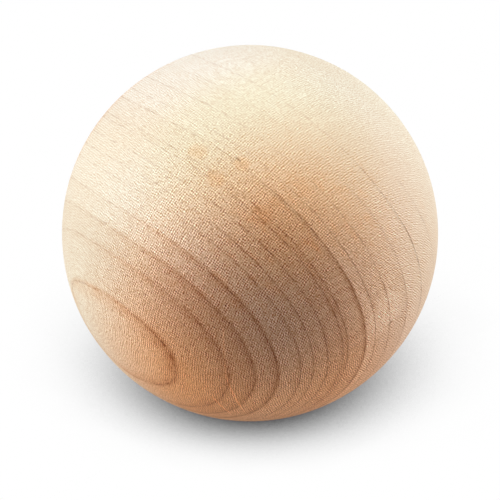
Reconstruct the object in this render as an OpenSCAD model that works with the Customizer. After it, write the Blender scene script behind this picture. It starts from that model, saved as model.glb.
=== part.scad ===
// Solid wooden ball, turned from one piece of close-grained hardwood.
// All sizes are in millimetres. The origin is the centre of the ball, and +Z is up.

/* [Ball] */
// Diameter of the ball
ball_d = 76.2; // [25:0.1:100]

/* [Hidden] */
// Every separate piece, by name
// The piece that is drawn, or all of them
// Sides to the full circle in a preview of the round surface
ball_facets = 180;

// One solid sphere: no bore, no flat and no second piece.
module ball() {
    color("burlywood")
        sphere(d = ball_d, $fn = ball_facets);
}

ball();
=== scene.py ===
# %% [markdown]
# # A solid wooden ball
#
# The real thing is one piece of pale, close-grained hardwood, turned round on a lathe and sanded smooth.
# Its whole character is in the wood: growth rings that bend round the ball, hair-fine lines that turning
# and sanding left across them, small dark pores, and a tone that deepens from cream to a warm tan where
# the fibres are cut across. Some of the colour is painted light and shade: the tan on the front is partly
# painted shade, and the top and the foot carry painted light.
#
# A flat picture of wood would only wrap round the ball like paper. Here the pattern is worked out in three
# dimensions instead, as it is in a tree, so every cut through it shows the right figure.

import math

import bmesh
import bpy
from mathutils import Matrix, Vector, noise


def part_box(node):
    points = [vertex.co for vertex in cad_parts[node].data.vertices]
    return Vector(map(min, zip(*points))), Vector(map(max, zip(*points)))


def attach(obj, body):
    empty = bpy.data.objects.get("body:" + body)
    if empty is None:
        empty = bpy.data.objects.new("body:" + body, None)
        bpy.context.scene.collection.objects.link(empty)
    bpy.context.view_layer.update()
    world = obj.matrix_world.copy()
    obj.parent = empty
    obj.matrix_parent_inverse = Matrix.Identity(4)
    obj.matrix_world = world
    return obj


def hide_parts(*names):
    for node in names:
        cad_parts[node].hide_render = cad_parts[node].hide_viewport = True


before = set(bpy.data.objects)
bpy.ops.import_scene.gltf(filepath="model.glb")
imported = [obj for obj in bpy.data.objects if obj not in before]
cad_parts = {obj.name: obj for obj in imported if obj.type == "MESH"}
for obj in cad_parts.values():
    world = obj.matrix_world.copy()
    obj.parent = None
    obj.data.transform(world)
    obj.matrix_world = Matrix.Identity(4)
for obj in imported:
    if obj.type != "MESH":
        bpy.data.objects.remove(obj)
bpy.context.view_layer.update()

# %% [markdown]
# ## Sizes
#
# The packed ball gives the radius, so nothing here repeats a size from the construction. The wood's own
# sizes are in millimetres, because that is how a woodworker reads a board.

# %% Sizes taken from the frame
MM = 0.001
lowest, highest = (Vector(corner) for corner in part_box("ball"))
BALL_RADIUS = (highest.z - lowest.z) / 2
radius_mm = BALL_RADIUS / MM
print("ball radius in mm:", round(radius_mm, 2))

# %% [markdown]
# ## The camera
#
# The camera looks down at the ball from the front with a long lens, about twelve radii away. A long lens
# keeps a ball's outline round. The lens is worked out from how much of the picture the ball fills.

# %% Camera
PICTURE_SIDE = 500.0
BALL_CENTRE_ACROSS = 250.0
BALL_CENTRE_DOWN = 233.2
BALL_OUTLINE_RADIUS = 188.35
CAMERA_RISE = math.radians(27.0)
CAMERA_REACH = 12.0 * BALL_RADIUS
NEAR_CLIP = 10 * MM


def placed(name, data):
    """A new object in the scene, at the origin."""
    made = bpy.data.objects.new(name, data)
    bpy.context.scene.collection.objects.link(made)
    return made


towards_camera = Vector((0.0, -math.cos(CAMERA_RISE), math.sin(CAMERA_RISE)))
picture_up = Vector((0.0, math.sin(CAMERA_RISE), math.cos(CAMERA_RISE)))
picture_right = Vector((1.0, 0.0, 0.0))

outline_angle = math.asin(BALL_RADIUS / CAMERA_REACH)
pixel_slope = math.tan(outline_angle) / BALL_OUTLINE_RADIUS
aim_across = (PICTURE_SIDE / 2 - BALL_CENTRE_ACROSS) * pixel_slope
aim_down = (PICTURE_SIDE / 2 - BALL_CENTRE_DOWN) * pixel_slope

camera_data = bpy.data.cameras.new("bench_camera")
camera_data.lens = camera_data.sensor_width / (PICTURE_SIDE * pixel_slope)
camera_data.clip_start = NEAR_CLIP
camera = placed("bench_camera", camera_data)
camera.location = towards_camera * CAMERA_REACH
look = -towards_camera + picture_right * aim_across - picture_up * aim_down
camera.rotation_euler = look.to_track_quat("-Z", "Y").to_euler()
bpy.context.scene.camera = camera
print("lens in mm:", round(camera_data.lens, 1))

# %% [markdown]
# ## The ball's surface
#
# A sphere can be made from rings and segments, which crowd at its two poles, or from an icosahedron whose
# faces are split again and again, which is even all over. The second kind has no poles to show in a gloss,
# so it is used here. A hand-sanded ball is never quite true: the abrasive leaves it very slightly uneven,
# by a few hundredths of a millimetre, and that is what makes a soft highlight look soft and not drawn.

# %% Ball mesh
SANDING_DEPTH = 0.05 * MM
SANDING_PITCH = 14.0 * MM
SUBDIVISIONS = 7


def sanded(point):
    """How far sanding has left the surface above or below the true ball at this point."""
    return SANDING_DEPTH * noise.noise(point / SANDING_PITCH)


ball_mesh = bpy.data.meshes.new("turned_ball")
shape = bmesh.new()
bmesh.ops.create_icosphere(shape, subdivisions=SUBDIVISIONS, radius=BALL_RADIUS - SANDING_DEPTH)
for corner in shape.verts:
    corner.co += corner.co.normalized() * sanded(corner.co)
for face in shape.faces:
    face.smooth = True
shape.to_mesh(ball_mesh)
shape.free()

turned_ball = placed("turned_ball", ball_mesh)
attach(turned_ball, "root")
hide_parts("ball")
print("faces on the ball:", len(ball_mesh.polygons))

# %% [markdown]
# ## Shader maths that reads like maths
#
# A procedural wood is mostly arithmetic on positions. In the node editor that is a wall of Math nodes. Here
# one small class wraps an output socket and gives it Python's operators, so that an expression such as
# `1 - pores * 0.3` adds the Math nodes by itself. Everything that isn't arithmetic goes through one method,
# `node`, which takes the node's type, its settings and its sockets.

# %% A wrapped socket


class Wire:
    """An output socket. Arithmetic on it adds Math nodes to its recipe."""

    def __init__(self, recipe, socket):
        self.recipe = recipe
        self.socket = socket

    def __add__(self, other):
        return self.recipe.maths("ADD", self, other)

    def __sub__(self, other):
        return self.recipe.maths("SUBTRACT", self, other)

    def __rsub__(self, other):
        return self.recipe.maths("SUBTRACT", other, self)

    def __mul__(self, other):
        return self.recipe.maths("MULTIPLY", self, other)

    def __truediv__(self, other):
        return self.recipe.maths("DIVIDE", self, other)

    def __pow__(self, other):
        return self.recipe.maths("POWER", self, other)

    def __abs__(self):
        return self.recipe.maths("ABSOLUTE", self)

    __radd__ = __add__
    __rmul__ = __mul__


print("a wire's methods:", [name for name in vars(Wire) if callable(getattr(Wire, name))])


# %% [markdown]
# ## A recipe for a material
#
# The other class holds a material's node tree and adds nodes to it by name. Its small methods are the few
# steps that this scene repeats: a smooth rise, a number between two numbers, a distance along a direction,
# a blend, a tint, a noise, and whether a surface is looked at or only lights others.

# %% A material's recipe


class Recipe:
    """A material or world as a list of nodes, with one method that adds any of them."""

    def __init__(self, owner):
        owner.use_nodes = True
        self.tree = owner.node_tree
        self.tree.nodes.clear()

    def node(self, kind, settings=None, sockets=None, out=0):
        """Adds one node, sets its settings, then fills its sockets, and returns the output asked for."""
        made = self.tree.nodes.new(kind)
        for name, value in (settings or {}).items():
            if name == "stops":
                self.fill_ramp(made.color_ramp, value)
            elif name == "between_stops":
                made.color_ramp.interpolation = value
            else:
                setattr(made, name, value)
        for name, value in (sockets or {}).items():
            if isinstance(value, Wire):
                self.tree.links.new(value.socket, made.inputs[name])
            else:
                made.inputs[name].default_value = value
        if isinstance(out, tuple):
            return tuple(Wire(self, made.outputs[name]) for name in out)
        return Wire(self, made.outputs[out]) if len(made.outputs) else made

    def fill_ramp(self, ramp, stops):
        """Puts the stops on a colour ramp: pairs of a place from 0 to 1 and a colour."""
        ramp.elements.remove(ramp.elements[1])
        ramp.elements[0].position = stops[0][0]
        ramp.elements[0].color = (*stops[0][1], 1.0)
        for place, colour in stops[1:]:
            ramp.elements.new(place).color = (*colour, 1.0)

    def maths(self, operation, first, second=0.0):
        return self.node("ShaderNodeMath", {"operation": operation}, {0: first, 1: second})

    def vector(self, operation, sockets, out="Vector"):
        return self.node("ShaderNodeVectorMath", {"operation": operation}, sockets, out)

    def span(self, value, start, end):
        """0 below start, 1 above end, and a smooth rise between them."""
        sockets = {"Value": value, "From Min": start, "From Max": end}
        return self.node("ShaderNodeMapRange", {"interpolation_type": "SMOOTHSTEP"}, sockets)

    def between(self, amount, low, high):
        """The low number where the amount is 0, and the high one where it is 1."""
        return amount * (high - low) + low

    def toward(self, place, direction):
        """How far a place lies along a direction."""
        return self.vector("DOT_PRODUCT", {0: place, 1: tuple(direction)}, "Value")

    def point(self, x, y, z):
        return self.node("ShaderNodeCombineXYZ", None, {"X": x, "Y": y, "Z": z})

    def blend(self, amount, first, second):
        """A colour between two colours."""
        settings = {"data_type": "RGBA"}
        return self.node("ShaderNodeMix", settings, {"Factor": amount, 6: first, 7: second}, 2)

    def tinted(self, colour, amount, change):
        """The colour with a share of each channel added, in step with an amount that varies over it."""
        share = self.vector("MULTIPLY_ADD", {0: amount, 1: change, 2: (1.0, 1.0, 1.0)})
        return self.vector("MULTIPLY", {0: colour, 1: share})

    def soft_noise(self, where, detail=2.0):
        """Smooth noise about zero, whose features are one unit of its place apart."""
        sockets = {"Vector": where, "Scale": 1.0, "Detail": detail}
        return self.node("ShaderNodeTexNoise", None, sockets, "Fac") * 2 - 1

    def looked_at(self):
        """1 for rays from the camera and for mirror-like ones, and 0 for all that carry light."""
        ways = ("Is Camera Ray", "Is Glossy Ray", "Is Transmission Ray")
        camera_ray, glossy_ray, clear_ray = self.node("ShaderNodeLightPath", out=ways)
        return self.maths("MAXIMUM", self.maths("MAXIMUM", camera_ray, glossy_ray), clear_ray)


print("a recipe's methods:", [name for name in vars(Recipe) if callable(getattr(Recipe, name))])

# %% [markdown]
# ## The wood: where the trunk stood
#
# A growth ring is a thin shell round the tree's heart, the pith. A ball cut from the trunk meets those
# shells at every angle, which gives it nested ovals on one side and long sweeping lines elsewhere. So the
# first thing to settle is where the pith ran: here it passes about eight centimetres from the ball's
# centre, on its left and a little to the front, nearly level.
#
# Three distances then describe any point of the wood: how far it lies outward from the pith, how far round
# the trunk, and how far along the grain. They are plain dot products with three directions that stand
# square to each other.

# %% The trunk's directions
GRAIN = Vector((0.48, -0.88, -0.06)).normalized()
AWAY = Vector((0.88, 0.47, 0.11))
FROM_PITH = (AWAY - AWAY.project(GRAIN)).normalized()
ROUND_TRUNK = GRAIN.cross(FROM_PITH)
PITH_DISTANCE = 79.0

wood = bpy.data.materials.new("pale_hardwood")
recipe = Recipe(wood)
place = recipe.node("ShaderNodeTexCoord", out="Object")
place_mm = recipe.vector("SCALE", {0: place, "Scale": 1 / MM})
unit_place = recipe.vector("NORMALIZE", {0: place})
outward = recipe.toward(place_mm, FROM_PITH)
round_trunk = recipe.toward(place_mm, ROUND_TRUNK)
along = recipe.toward(place_mm, GRAIN)
print("pith to the ball's near side in mm:", round(PITH_DISTANCE - radius_mm, 1))

# %% [markdown]
# ## The wood: how far each point is from the pith
#
# A trunk is never a true cylinder. It is a little oval, it leans, and it swells near a branch. Each of
# these pushes the rings in or out by a share of the ball's radius that grows towards the surface. A slow
# waver and a fine tremble then keep the lines from looking drawn with a compass.
#
# A bent grid or a warped picture could give the same lines on the surface, but only a distance in three
# dimensions makes them meet correctly all round the ball.

# %% Ring distance
# How far each bend moves a ring at the ball's surface, as a share of its radius, and how that changes
# outward, round the trunk and along the grain.
OVAL = 0.48
OVAL_OUTWARD = 0.23
OVAL_ALONG = -0.27
LEAN = 0.27
LEAN_ROUND = -0.27
SWELL_ALONG = 0.25
SWELL_OUTWARD = 0.37
WAVER_LENGTH = 9.0
WAVER_DEPTH = 0.4
TREMBLE_LENGTH = 0.9
TREMBLE_DEPTH = 0.06


def even_noise(length_mm, detail=2.0):
    """Soft noise whose features are this many millimetres apart in every direction."""
    return recipe.soft_noise(recipe.vector("SCALE", {0: place_mm, "Scale": 1 / length_mm}), detail)


out_share = outward / radius_mm
round_share = round_trunk / radius_mm
along_share = along / radius_mm
oval = round_share * round_share * (OVAL + out_share * OVAL_OUTWARD + along_share * OVAL_ALONG)
lean = out_share * along_share * (LEAN + round_share * LEAN_ROUND)
swell = round_share * (along_share * along_share * SWELL_ALONG + out_share * out_share * SWELL_OUTWARD)
bend_mm = (oval + lean + swell) * radius_mm

beyond_pith = outward + PITH_DISTANCE
true_circle = (beyond_pith * beyond_pith + round_trunk * round_trunk) ** 0.5
waver = even_noise(WAVER_LENGTH) * WAVER_DEPTH
tremble = even_noise(TREMBLE_LENGTH) * TREMBLE_DEPTH
ring_mm = true_circle + bend_mm + waver + tremble
print("ring distance:", len(recipe.tree.nodes), "nodes so far")

# %% [markdown]
# ## The wood: one row for each year
#
# A ring starts pale and soft in spring and ends in a thin dark line in autumn. No two years were alike, so
# each has a row of its own: where it ends, how strong its autumn line is and how wide, how pale its spring
# wood is, and the tone of the whole year, where a half is plain and more is creamier. The edges and the
# year tones were measured with separate fitting programs and then rounded, and so were the bends above.
# The other three columns were given one year at a time.
#
# A colour ramp is Blender's own table. One ramp with sloping stops turns a distance into an age in years,
# and ramps with flat steps hand out each year's own values.

# %% Ring table
# Outer edge in mm from the pith, line strength, line width in mm, spring paleness, year tone.
RING_START = 36.0
RINGS = (
    (43.0, 0.85, 3.0, 0.3, 0.50),
    (50.9, 0.50, 3.0, 0.3, 0.45),
    (55.7, 0.50, 2.4, 0.3, 0.40),
    (60.8, 0.60, 2.6, 0.5, 0.55),
    (66.1, 0.45, 1.2, 0.5, 0.70),
    (69.3, 0.50, 0.8, 0.5, 0.65),
    (73.1, 0.60, 0.8, 0.5, 0.60),
    (77.5, 0.60, 1.4, 0.4, 0.50),
    (78.7, 0.55, 0.6, 0.1, 0.40),
    (84.4, 0.90, 2.0, 0.4, 0.45),
    (87.3, 0.50, 0.5, 0.9, 0.60),
    (92.3, 0.45, 0.6, 0.4, 0.60),
    (98.7, 0.30, 1.2, 0.2, 0.65),
    (104.6, 0.60, 0.9, 0.5, 0.75),
    (110.8, 0.25, 1.0, 0.3, 0.75),
    (115.9, 0.10, 0.9, 0.3, 0.70),
    (120.6, 0.10, 1.0, 0.3, 0.70),
    (127.0, 0.40, 1.0, 0.3, 0.60),
)
WIDEST_LINE = 4.0
ring_count = len(RINGS)
ring_reach = RINGS[-1][0] - RING_START
age_stops = [(0.0, (0.0, 0.0, 0.0))]
line_stops = []
tone_stops = []
inner_edge = RING_START
for index, (edge, line, line_width, paleness, year_tone) in enumerate(RINGS):
    start = index / ring_count
    end = (index + 1) / ring_count
    age_stops.append(((edge - RING_START) / ring_reach, (end, end, end)))
    line_stops.append((start, (line, line_width / WIDEST_LINE, (edge - inner_edge) / ring_reach)))
    tone_stops.append((start, (paleness, year_tone, 0.0)))
    inner_edge = edge
print("growth rings:", ring_count, "over", round(ring_reach, 1), "mm")

# %% [markdown]
# ## The wood: the lines of one year
#
# The age in years has a whole part, which picks the row, and a rest, which is the season. The autumn line
# rises slowly and ends sharply, because wood stops growing at the first frost, and a hairline marks that
# end. A Wave texture would make every ring alike, so the line is built from the season itself.

# %% From a distance to a place in the year
SLOW_RISE = 1.4
FROST_SHARE = 0.25
HAIRLINE_WIDTH = 0.22
HAIRLINE_MOST = 0.6
SPRING_FADE = 4.0

reach_share = (ring_mm - RING_START) / ring_reach
age_ramp = {"stops": age_stops, "between_stops": "LINEAR"}
age = recipe.node("ShaderNodeValToRGB", age_ramp, {"Fac": reach_share}) * ring_count
ring_number = recipe.maths("FLOOR", age)
season = age - ring_number
middle_of_year = (ring_number + 0.5) / ring_count
line_ramp = {"stops": line_stops, "between_stops": "CONSTANT"}
line_values = recipe.node("ShaderNodeValToRGB", line_ramp, {"Fac": middle_of_year})
tone_ramp = {"stops": tone_stops, "between_stops": "CONSTANT"}
tone_values = recipe.node("ShaderNodeValToRGB", tone_ramp, {"Fac": middle_of_year})
line_strength, line_share, ring_share = recipe.node(
    "ShaderNodeSeparateColor", None, {"Color": line_values}, ("Red", "Green", "Blue"))
paleness, year_tone = recipe.node(
    "ShaderNodeSeparateColor", None, {"Color": tone_values}, ("Red", "Green"))

to_edge_mm = (1 - season) * ring_share * ring_reach
line_mm = line_share * WIDEST_LINE
into_line = to_edge_mm / line_mm
line_rise = recipe.maths("MAXIMUM", 1 - into_line, 0.0) ** SLOW_RISE
autumn_line = line_rise * recipe.span(into_line, 0.0, FROST_SHARE) * line_strength
hairline_gap = abs(to_edge_mm - line_mm * FROST_SHARE)
hairline_strength = recipe.maths("MINIMUM", line_strength, HAIRLINE_MOST)
hairline = (1 - recipe.span(hairline_gap, 0.0, HAIRLINE_WIDTH)) * hairline_strength
spring_wood = paleness * (1 - season ** SPRING_FADE)
print("ring pattern:", len(recipe.tree.nodes), "nodes so far")

# %% [markdown]
# ## The wood: lathe lines
#
# The tool and the abrasive both went round the ball while it spun, so they left hair-fine lines in circles
# about the lathe's axis, half a millimetre apart. A turner then sets the blank across the lathe, to reach
# the two ends, and that leaves a second, weaker set that crosses the first. Together they read as a fine
# grain of dots, with short bright streaks where one set is stronger.
#
# The distance from an axis's pole, measured over the surface, gives the circles, and a sine of it gives the
# lines. A Wave texture could do the same for straight lines, but not for circles on a ball. One noise makes
# each line waver, with its place moved along the axis so that the two sets waver apart, and another noise
# makes the lines come and go.

# %% Lathe lines
LATHE_AXIS = Vector((0.72, -0.63, -0.28)).normalized()
# The second axis is square to the first and to this direction.
THIRD_WAY = Vector((0.0, -0.89, 0.45))
SECOND_AXIS = LATHE_AXIS.cross(THIRD_WAY).normalized()
SECOND_SHARE = 0.85
LATHE_PITCH = 0.46
LATHE_WAVER = 3.0
LATHE_WAVER_LENGTH = 1.0
SET_APART = 10.0
BREAK_LENGTH = 0.8
BREAK_EDGE = (-0.4, 0.4)
BREAK_LEAST = 0.3


def circle_lines(axis):
    """A wave about zero, in wavering circles about an axis."""
    from_pole = recipe.maths("ARCCOSINE", recipe.toward(unit_place, axis)) * radius_mm
    finer = (1 / LATHE_WAVER_LENGTH,) * 3
    own_place = recipe.vector("MULTIPLY_ADD", {0: place_mm, 1: finer, 2: axis * SET_APART})
    waver_by = recipe.soft_noise(own_place, 0.0) * LATHE_WAVER
    return recipe.maths("SINE", from_pole * (math.tau / LATHE_PITCH) + waver_by)


both_ways = circle_lines(LATHE_AXIS) + circle_lines(SECOND_AXIS) * SECOND_SHARE
unbroken = recipe.span(even_noise(BREAK_LENGTH, 0.0), *BREAK_EDGE)
lathe_lines = both_ways * recipe.between(unbroken, BREAK_LEAST, 1.0)
print("lathe lines are", LATHE_PITCH, "mm from crest to crest")

# %% [markdown]
# ## The wood: fibres
#
# Fibres are the bundles that the whole trunk is made of. Cut across they are specks, and cut along they are
# short dashes. Voronoi cells, squeezed by the real sizes in the trunk's own three directions, give both
# from one node: each cell has a dark middle, and a random tone of its own helps to decide how dark. A
# randomness below 1 spaces the cells a little more evenly, so that they don't clump into blotches. The mean
# is added back, so the specks leave the wood's tone as it was.

# %% Fibres
FIBRE_OUTWARD = 0.25
FIBRE_ROUND = 0.25
FIBRE_ALONG = 0.38
FIBRE_RANDOMNESS = 0.7
FIBRE_CORE = 0.2
FIBRE_RIM = 0.8
FIBRE_PALEST = 0.4
FIBRE_MEAN = 0.33
fibre_place = recipe.point(outward / FIBRE_OUTWARD, round_trunk / FIBRE_ROUND, along / FIBRE_ALONG)
fibre_sockets = {"Vector": fibre_place, "Scale": 1.0, "Randomness": FIBRE_RANDOMNESS}
fibre_gap, fibre_colour = recipe.node(
    "ShaderNodeTexVoronoi", {"feature": "F1"}, fibre_sockets, ("Distance", "Color"))
fibre_tone = recipe.node("ShaderNodeSeparateColor", None, {"Color": fibre_colour}, "Red")
fibre_darkness = recipe.between(fibre_tone, FIBRE_PALEST, 1.0)
fibres = FIBRE_MEAN - (1 - recipe.span(fibre_gap, FIBRE_CORE, FIBRE_RIM)) * fibre_darkness
print("fibre bundles are", FIBRE_OUTWARD, "by", FIBRE_ROUND, "mm across")

# %% [markdown]
# ## The wood: pores
#
# Pores are the open ends of the sap vessels, fine dark dots that fill with shadow. The vessels run the
# length of the trunk, so flat Voronoi cells, laid square to the grain, carry them right through the ball.
# A noise that is slow along the grain opens some and closes others.

# %% Pores
PORE_SPACING = 0.9
PORE_CORE = 0.08
PORE_RIM = 0.2
OPEN_ACROSS = 0.6
OPEN_ALONG = 4.0
OPEN_EDGE = (-0.2, 0.3)
pore_place = recipe.point(outward / PORE_SPACING, round_trunk / PORE_SPACING, 0.0)
pore_settings = {"feature": "F1", "voronoi_dimensions": "2D"}
pore_sockets = {"Vector": pore_place, "Scale": 1.0}
pore_gap = recipe.node("ShaderNodeTexVoronoi", pore_settings, pore_sockets, "Distance")
open_place = recipe.point(outward / OPEN_ACROSS, round_trunk / OPEN_ACROSS, along / OPEN_ALONG)
open_pores = recipe.span(recipe.soft_noise(open_place), *OPEN_EDGE)
pores = (1 - recipe.span(pore_gap, PORE_CORE, PORE_RIM)) * open_pores
print("pores are about", round(2 * PORE_RIM * PORE_SPACING, 2), "mm across")

# %% [markdown]
# ## The wood: stains and blotches
#
# Sap leaves soft orange patches that follow the rings for a centimetre or so, most of all on the ball's
# upper front, and the autumn lines come and go along their length for the same reason. Both are slow noise,
# stretched along the rings, which painted spots could never follow. A quicker noise of the same kind breaks
# the hairlines into dashes.

# %% Blotches
BLOTCH_SIDE = ((0.0, -0.75, 0.66), 0.6, 1.0)
BLOTCH_LEAST = 0.25
BLOTCH_OUTWARD = 2.2
BLOTCH_ROUND = 5.0
BLOTCH_EDGE = (0.0, 0.5)
PATCHINESS = 1.2
DASH_OUTWARD = 1.0
DASH_ROUND = 1.5
DASH_EDGE = (-0.25, 0.35)


def facing(side):
    """0 to 1 as the ball turns to one side: its direction, and where the rise starts and ends."""
    direction, start, end = side
    return recipe.span(recipe.toward(unit_place, Vector(direction).normalized()), start, end)


arc_mm = recipe.maths("ARCTAN2", round_trunk, beyond_pith) * PITH_DISTANCE
blotch_place = recipe.point(ring_mm / BLOTCH_OUTWARD, arc_mm / BLOTCH_ROUND, along / BLOTCH_ROUND)
blotch_noise = recipe.soft_noise(blotch_place)
blotch_show = recipe.between(facing(BLOTCH_SIDE), BLOTCH_LEAST, 1.0)
blotches = recipe.span(blotch_noise, *BLOTCH_EDGE) * blotch_show
patchy_line = autumn_line * (1 + blotch_noise * PATCHINESS)
dash_place = recipe.point(ring_mm / DASH_OUTWARD, arc_mm / DASH_ROUND, along / DASH_ROUND)
dashes = recipe.span(recipe.soft_noise(dash_place), *DASH_EDGE)
print("blotches run about", BLOTCH_ROUND, "mm along a ring")

# %% [markdown]
# ## The wood: marks of its own
#
# A real ball has a few marks that no pattern gives: tiny dark pips where bud traces were cut, soft spots of
# sap beside them, a pale spot where the lathe's centre held the blank, and hair-thin pale scratches. Most
# are arcs on the ball between two places. An arc lies in a plane through the ball's centre, so a point's
# distance from that plane is its distance from the arc, and its closeness to the arc's middle keeps the
# mark to its own length. Marks could be painted on a texture instead, but then they would need a UV map.
#
# A place is given as the pixel that shows it from the camera, because that is how a mark is found. The ray
# from the camera through the pixel meets the ball there.

# %% Marks
ARC_WHOLE = 0.6
ARC_GONE = 1.3


def on_ball(across, down):
    """The direction from the ball's centre to the place on it that a pixel of the picture shows."""
    right_by = (across - BALL_CENTRE_ACROSS) * pixel_slope
    down_by = (down - BALL_CENTRE_DOWN) * pixel_slope
    ray = (-towards_camera + picture_right * right_by - picture_up * down_by).normalized()
    start = towards_camera * CAMERA_REACH
    to_middle = -start.dot(ray)
    half_chord = math.sqrt(to_middle ** 2 - start.length_squared + BALL_RADIUS ** 2)
    return (start + ray * (to_middle - half_chord)).normalized()


def arc_mark(start, end, width_mm):
    """1 on the arc between two pixels' places, fading to 0 at width_mm from it and past its ends."""
    start = on_ball(*start)
    end = on_ball(*end)
    middle = (start + end).normalized()
    off_line = abs(recipe.toward(place_mm, start.cross(end).normalized()))
    closeness = recipe.toward(unit_place, middle)
    half_length = middle.angle(start)
    on_line = 1 - recipe.span(off_line, 0.0, width_mm)
    gone_at = math.cos(half_length * ARC_GONE)
    whole_at = math.cos(half_length * ARC_WHOLE)
    return on_line * recipe.span(closeness, gone_at, whole_at)


# Each mark runs between two pixels, across and down. A scratch has a strength as well.
PIP_WIDTH = 0.4
PIPS = (
    ((235.4, 157.4), (240.8, 161.3)),
    ((388.5, 325.8), (392.4, 320.4)),
)
SAP_WIDTH = 3.0
SAP_SPOTS = (
    ((236, 159), (248, 168)),
    ((208, 173), (223, 184)),
    ((254, 206), (270, 224)),
    ((189, 149), (206, 154)),
)
SCRATCH_WIDTH = 0.3
SCRATCHES = (
    ((223, 328), (226, 377), 0.6),
    ((226, 377), (242, 409), 1.0),
    ((212, 397), (230, 413), 1.0),
)
SPOT_REACH = math.radians(9.0)
SPOT_PIXEL = (387, 313)
PALE_SPOT = (on_ball(*SPOT_PIXEL), math.cos(SPOT_REACH), 1.0)

pips = sum(arc_mark(start, end, PIP_WIDTH) for start, end in PIPS)
sap_spots = sum(arc_mark(start, end, SAP_WIDTH) for start, end in SAP_SPOTS)
scratches = sum(arc_mark(start, end, SCRATCH_WIDTH) * strength for start, end, strength in SCRATCHES)
pale_spot = facing(PALE_SPOT)
print("pips, sap spots and scratches:", len(PIPS), len(SAP_SPOTS), len(SCRATCHES))

# %% [markdown]
# ## The wood: tone, with painted light and shade
#
# Where the fibres are cut across, the wood drinks in more light and turns from cream to a warm tan. Where
# they run along the surface it stays pale. On the front the tan is only partly this end grain's own tone:
# the rest is painted shade, as the front faces away from the lamps. A dot product with one direction tells
# the two apart, and the grain's own direction gives the ball's far side an end of its own.
#
# The other sides are slow changes of tone: a paler right side; a darker front, which is partly darker wood
# and partly painted shade; a warmer patch above it; a paler top, which is painted light; and a paler and a
# duller patch at the foot, which are painted light thrown up from the floor, paling the one and greying the
# tan of the other. Vertex colours could hold such slow changes too, but a direction and two numbers are
# easier to move.

# %% Tone
# Each side is a direction, then how far towards it the change starts and where it is complete. Past 1 it is
# never complete, so that change stays partial.
CUT_ACROSS = (0.48, -0.79, -0.39)
# Towards this side the tan is partly the end grain's tone and partly painted shade on the front.
FRONT_END_AND_SHADE = (CUT_ACROSS, -0.12, 0.73)
BACK_END = (-GRAIN, 0.3, 1.0)
PALE_SIDE = ((0.95, 0.0, 0.32), 0.18, 1.42)
# The paler top is painted light.
PAINTED_LIGHT_ON_TOP = ((-0.37, 0.17, 0.91), 0.8, 1.0)
WARM_MIDDLE = ((0.11, -0.68, 0.72), 0.7, 1.0)
# A paler patch at the foot: painted light thrown up from the floor.
PAINTED_FLOOR_LIGHT_LEFT = ((-0.74, -0.50, -0.44), 0.75, 1.0)
# A duller patch at the foot: painted light from the floor, which greys the tan.
PAINTED_FLOOR_LIGHT_RIGHT = ((0.42, -0.70, -0.58), 0.7, 1.0)
# The darker front: partly darker wood and partly painted shade.
DARK_WOOD_AND_FRONT_SHADE = ((0.06, -0.99, 0.08), 0.75, 1.31)
CREAM = (0.85, 0.77, 0.61, 1.0)
TAN = (0.82, 0.385, 0.16, 1.0)
LEAST_TAN = 0.1

# The front's tan, partly end grain and partly painted shade, gives way to the paler right side.
front_tan_and_shade = recipe.between(facing(FRONT_END_AND_SHADE), LEAST_TAN, 1.0) * (1 - facing(PALE_SIDE))
tan_and_shade = recipe.maths("MAXIMUM", front_tan_and_shade, facing(BACK_END))
tone = recipe.blend(tan_and_shade, CREAM, TAN)
print("tone: cream", CREAM[:3], "to tan", TAN[:3])

# %% [markdown]
# ## The wood: where its figure shows
#
# The rings show best near the two ends of the grain: in orange where the surface leans towards one side, in
# dark brown where it cuts straight across the grain, and hardly at all elsewhere. The fine grain is
# strongest on the front and on the back, and weak on the two flanks and the top. One recipe for the whole
# ball would be simpler, but then the flanks would look as busy as the ends.

# %% Where the figure shows
ORANGE_LINES = ((-0.10, -0.75, -0.65), 0.1, 0.65)
DARK_LINES = (CUT_ACROSS, 0.25, 0.65)
BACK_LINES = (-GRAIN, 0.3, 0.9)
OPEN_FRONT = ((0.08, -0.99, -0.08), 0.3, 0.95)
OPEN_BACK = (-GRAIN, 0.3, 0.95)
LEAST_FIGURE = 0.04
LEAST_TONE = 0.4
LEAST_HAIRLINE = 0.45
LEAST_GRAIN = 0.35
MOST_GRAIN = 1.1
LEAST_FIBRES = 0.2
FIBRE_SHARE = 1.6

back_lines = facing(BACK_LINES)
line_show = recipe.maths("MAXIMUM", facing(ORANGE_LINES), back_lines)
dark_show = recipe.maths("MAXIMUM", facing(DARK_LINES), back_lines)
figure = recipe.between(line_show, LEAST_FIGURE, 1.0)
tone_show = recipe.between(line_show, LEAST_TONE, 1.0)
hairline_show = recipe.between(dark_show, LEAST_HAIRLINE, 1.0)
openness = recipe.maths("MAXIMUM", facing(OPEN_FRONT), facing(OPEN_BACK))
grain_contrast = recipe.between(openness, LEAST_GRAIN, MOST_GRAIN)
fibre_contrast = recipe.between(grain_contrast, LEAST_FIBRES, 1.0) * FIBRE_SHARE
print("fine grain:", LEAST_GRAIN, "on the flanks to", MOST_GRAIN, "at the front")

# %% [markdown]
# ## The wood: colour, with painted light and shade
#
# Each pattern is laid over the tone as a tint, which takes a share of red, green and blue away or adds it.
# Most are the wood's own marks; the darker front is partly painted shade, and the top and the foot carry
# painted light. In most of them blue changes most and red least, and that keeps brown lines brown and not
# grey. The dark front is the other way round, because it takes warmth out of the tan. Mixing towards one
# dark colour would be simpler, but every line would then have the same hue. Where several dark marks meet,
# the shares could take more away than there is, so the last step stops the colour at black.

# %% Colour
PLAIN_YEAR = 0.5
PLAIN_SPRING = 0.4
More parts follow.
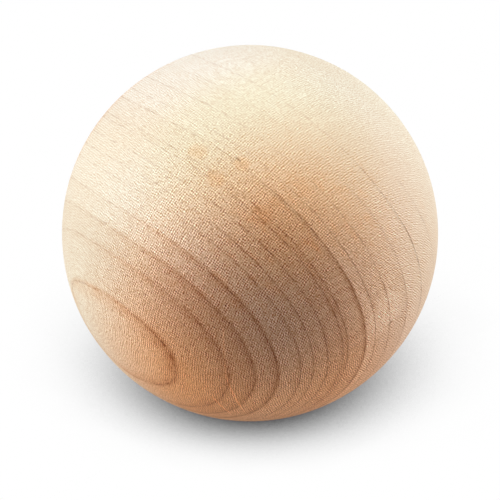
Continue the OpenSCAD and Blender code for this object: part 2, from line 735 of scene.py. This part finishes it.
# What tints the wood, from its own marks and from painted light and shade, then the share of red, green
# and blue that it adds, or takes away.
STAINS_AND_PAINTED_LIGHT = (
    # Partly darker wood and partly painted shade on the front.
    (facing(DARK_WOOD_AND_FRONT_SHADE), (-1.05, -0.84, -0.23)),
    ((year_tone - PLAIN_YEAR) * tone_show, (0.35, 0.65, 1.00)),
    (patchy_line * figure, (-0.12, -0.38, -0.58)),
    (patchy_line * dark_show, (-0.31, -0.28, -0.28)),
    ((spring_wood - PLAIN_SPRING) * figure, (0.16, 0.22, 0.28)),
    (blotches * dark_show, (0.00, -0.12, -0.24)),
    (hairline * dashes * hairline_show, (-1.00, -1.40, -1.65)),
    (lathe_lines * grain_contrast + fibres * fibre_contrast, (0.38, 0.61, 0.86)),
    (pores * grain_contrast * grain_contrast, (-0.45, -0.60, -0.70)),
    (facing(WARM_MIDDLE), (0.00, 0.02, -0.06)),
    # Painted light from the floor at the foot.
    (facing(PAINTED_FLOOR_LIGHT_LEFT), (0.10, 0.12, 0.12)),
    # Painted light from the floor, greying the tan at the foot.
    (facing(PAINTED_FLOOR_LIGHT_RIGHT), (-0.04, -0.01, 0.08)),
    # Painted light on the top.
    (facing(PAINTED_LIGHT_ON_TOP), (0.00, 0.03, 0.12)),
    (pale_spot, (0.14, 0.22, 0.30)),
    (sap_spots, (-0.02, -0.12, -0.22)),
    (pips, (-0.45, -0.55, -0.65)),
    (scratches, (0.45, 0.45, 0.45)),
)
NO_LIGHT = (0.0, 0.0, 0.0)
# The tone, then the wood's own marks and the painted light and shade laid over it.
colour_and_painted_light = tone
for amount, change in STAINS_AND_PAINTED_LIGHT:
    colour_and_painted_light = recipe.tinted(colour_and_painted_light, amount, change)
colour_and_painted_light = recipe.vector("MAXIMUM", {0: colour_and_painted_light, 1: NO_LIGHT})
print("stains over the tone:", len(STAINS_AND_PAINTED_LIGHT))

# %% [markdown]
# ## The wood: its surface
#
# Sanded wood without a coat of varnish has only a broad, weak gloss. The pores are open, and the hard
# autumn lines stand a hair proud of the spring wood. They and the fibres feed a very shallow bump. Real
# relief in the mesh would need millions of faces for the same effect.

# %% Surface
RELIEF_DEPTH = 0.03 * MM
RELIEF_STRENGTH = 0.5
LINE_RISE = 0.2
PORE_DROP = 0.2
FIBRE_RISE = 0.1
MATT_ROUGHNESS = 0.60
WEAK_GLOSS = 0.25
height = autumn_line * LINE_RISE - pores * PORE_DROP + fibres * FIBRE_RISE
bump_sockets = {"Height": height, "Distance": RELIEF_DEPTH, "Strength": RELIEF_STRENGTH}
relief = recipe.node("ShaderNodeBump", None, bump_sockets, "Normal")
shader = recipe.node("ShaderNodeBsdfPrincipled", None, {
    "Base Color": colour_and_painted_light,
    "Roughness": MATT_ROUGHNESS,
    "Specular IOR Level": WEAK_GLOSS,
    "Normal": relief,
}, "BSDF")
recipe.node("ShaderNodeOutputMaterial", None, {"Surface": shader})
ball_mesh.materials.append(wood)
print("wood:", len(recipe.tree.nodes), "nodes")

# %% [markdown]
# ## The floor
#
# The ball stands on white paper. To the camera, the paper shows its own white and a soft shadow of the
# ball. To the lamps it is an ordinary matt sheet, darker than white, so that it throws a natural amount of
# light back on the ball's underside without washing its colour out.
#
# The shadow is the share of sky that the ball hides from each point of the paper. Ambient Occlusion
# measures just that. Its sky leans forward and a little to the left, so the shadow is a narrow band in
# front of the ball and spreads behind it, as it does under a studio's light from above and the front.

# %% Floor mesh
FLOOR_SIDE = 6.0
floor_mesh = bpy.data.meshes.new("bench_floor")
shape = bmesh.new()
bmesh.ops.create_grid(shape, x_segments=1, y_segments=1, size=FLOOR_SIDE / 2)
bmesh.ops.translate(shape, verts=shape.verts, vec=(0.0, 0.0, lowest.z))
shape.to_mesh(floor_mesh)
shape.free()
floor = placed("bench_floor", floor_mesh)
print("floor at height in mm:", round(lowest.z / MM, 2))

# %% [markdown]
# ## The paper on the floor
#
# Light Path tells the paper who is looking. The camera and mirror-like rays see a glow of exactly the
# paper's white times the shadow, and every other ray meets plain matt paper. Turning the lamps up until
# the paper clipped would give white too, but it would bleach the wood with it.

# %% Floor paper
WHITE = (1.0, 1.0, 1.0, 1.0)
BLACK = (0.0, 0.0, 0.0, 1.0)
MATT_PAPER = (0.55, 0.55, 0.55, 1.0)
SKY_TILT = math.radians(38.0)
SKY_LEAN = -0.05
DARK_SKY = 0.263
FULL_SKY = 0.79
SKY_REACH = 1.0
SKY_SAMPLES = 16

paper = bpy.data.materials.new("pale_paper")
on_paper = Recipe(paper)
sky_side = on_paper.point(SKY_LEAN, -math.sin(SKY_TILT), math.cos(SKY_TILT))
sky_sockets = {"Normal": sky_side, "Distance": SKY_REACH}
open_sky = on_paper.node("ShaderNodeAmbientOcclusion", {"samples": SKY_SAMPLES}, sky_sockets, "AO")
shaded_white = on_paper.blend(on_paper.span(open_sky, DARK_SKY, FULL_SKY), BLACK, WHITE)
glow = on_paper.node("ShaderNodeEmission", None, {"Color": shaded_white, "Strength": 1.0})
matt = on_paper.node("ShaderNodeBsdfDiffuse", None, {"Color": MATT_PAPER})
both = on_paper.node("ShaderNodeMixShader", None, {0: on_paper.looked_at(), 1: matt, 2: glow})
on_paper.node("ShaderNodeOutputMaterial", None, {"Surface": both})
floor_mesh.materials.append(paper)
print("paper:", len(on_paper.tree.nodes), "nodes")

# %% [markdown]
# ## The lamps
#
# Four soft boxes, as a product photographer would set them: the strongest on the left and a little to the
# front, which makes the broad highlight, a long one overhead, and two weaker ones on the right that keep
# that edge from going dark. Each is a rectangle that faces the ball's centre, hidden from the camera but
# not from the gloss.

# %% Lamps
# Name, azimuth and rise in degrees, distance, width and height in metres, and power in watts.
LAMPS = (
    ("left_softbox", 250.0, 26.0, 1.2, 0.6, 0.5, 10.6),
    ("overhead_softbox", 0.0, 90.0, 1.1, 1.6, 0.5, 7.5),
    ("right_softbox", 75.0, 42.0, 1.2, 1.4, 1.0, 5.9),
    ("right_low", 90.0, 12.0, 1.2, 0.9, 0.6, 5.7),
)


def softbox(name, azimuth, rise, distance, width, tall, power):
    """A rectangular lamp that faces the ball. Azimuth 0 is behind the ball, 90 on its right."""
    turn_to = math.radians(azimuth)
    rise = math.radians(rise)
    level = math.cos(rise)
    direction = Vector((math.sin(turn_to) * level, math.cos(turn_to) * level, math.sin(rise)))
    lamp = bpy.data.lights.new(name, "AREA")
    lamp.shape = "RECTANGLE"
    lamp.size = width
    lamp.size_y = tall
    lamp.energy = power
    box = placed(name, lamp)
    box.location = direction * distance
    box.rotation_euler = (-direction).to_track_quat("-Z", "Y").to_euler()
    box.visible_camera = False
    return box


print("lamps:", [softbox(*lamp).name for lamp in LAMPS])

# %% [markdown]
# ## The world
#
# The room behind is plain white to the camera and in the gloss. It lights nothing by itself: that is left
# to the lamps, so the ball's own tones stay as they were written.

# %% World
world = bpy.data.worlds.new("studio")
bpy.context.scene.world = world
in_room = Recipe(world)
sky = in_room.node("ShaderNodeBackground", None, {"Color": WHITE, "Strength": in_room.looked_at()})
in_room.node("ShaderNodeOutputWorld", None, {"Surface": sky})
print("world:", len(in_room.tree.nodes), "nodes")

# %% [markdown]
# ## Finish
#
# The Standard view shows colours as they were written, so a cream stays cream.

# %% Finish
bpy.context.scene.view_settings.view_transform = "Standard"
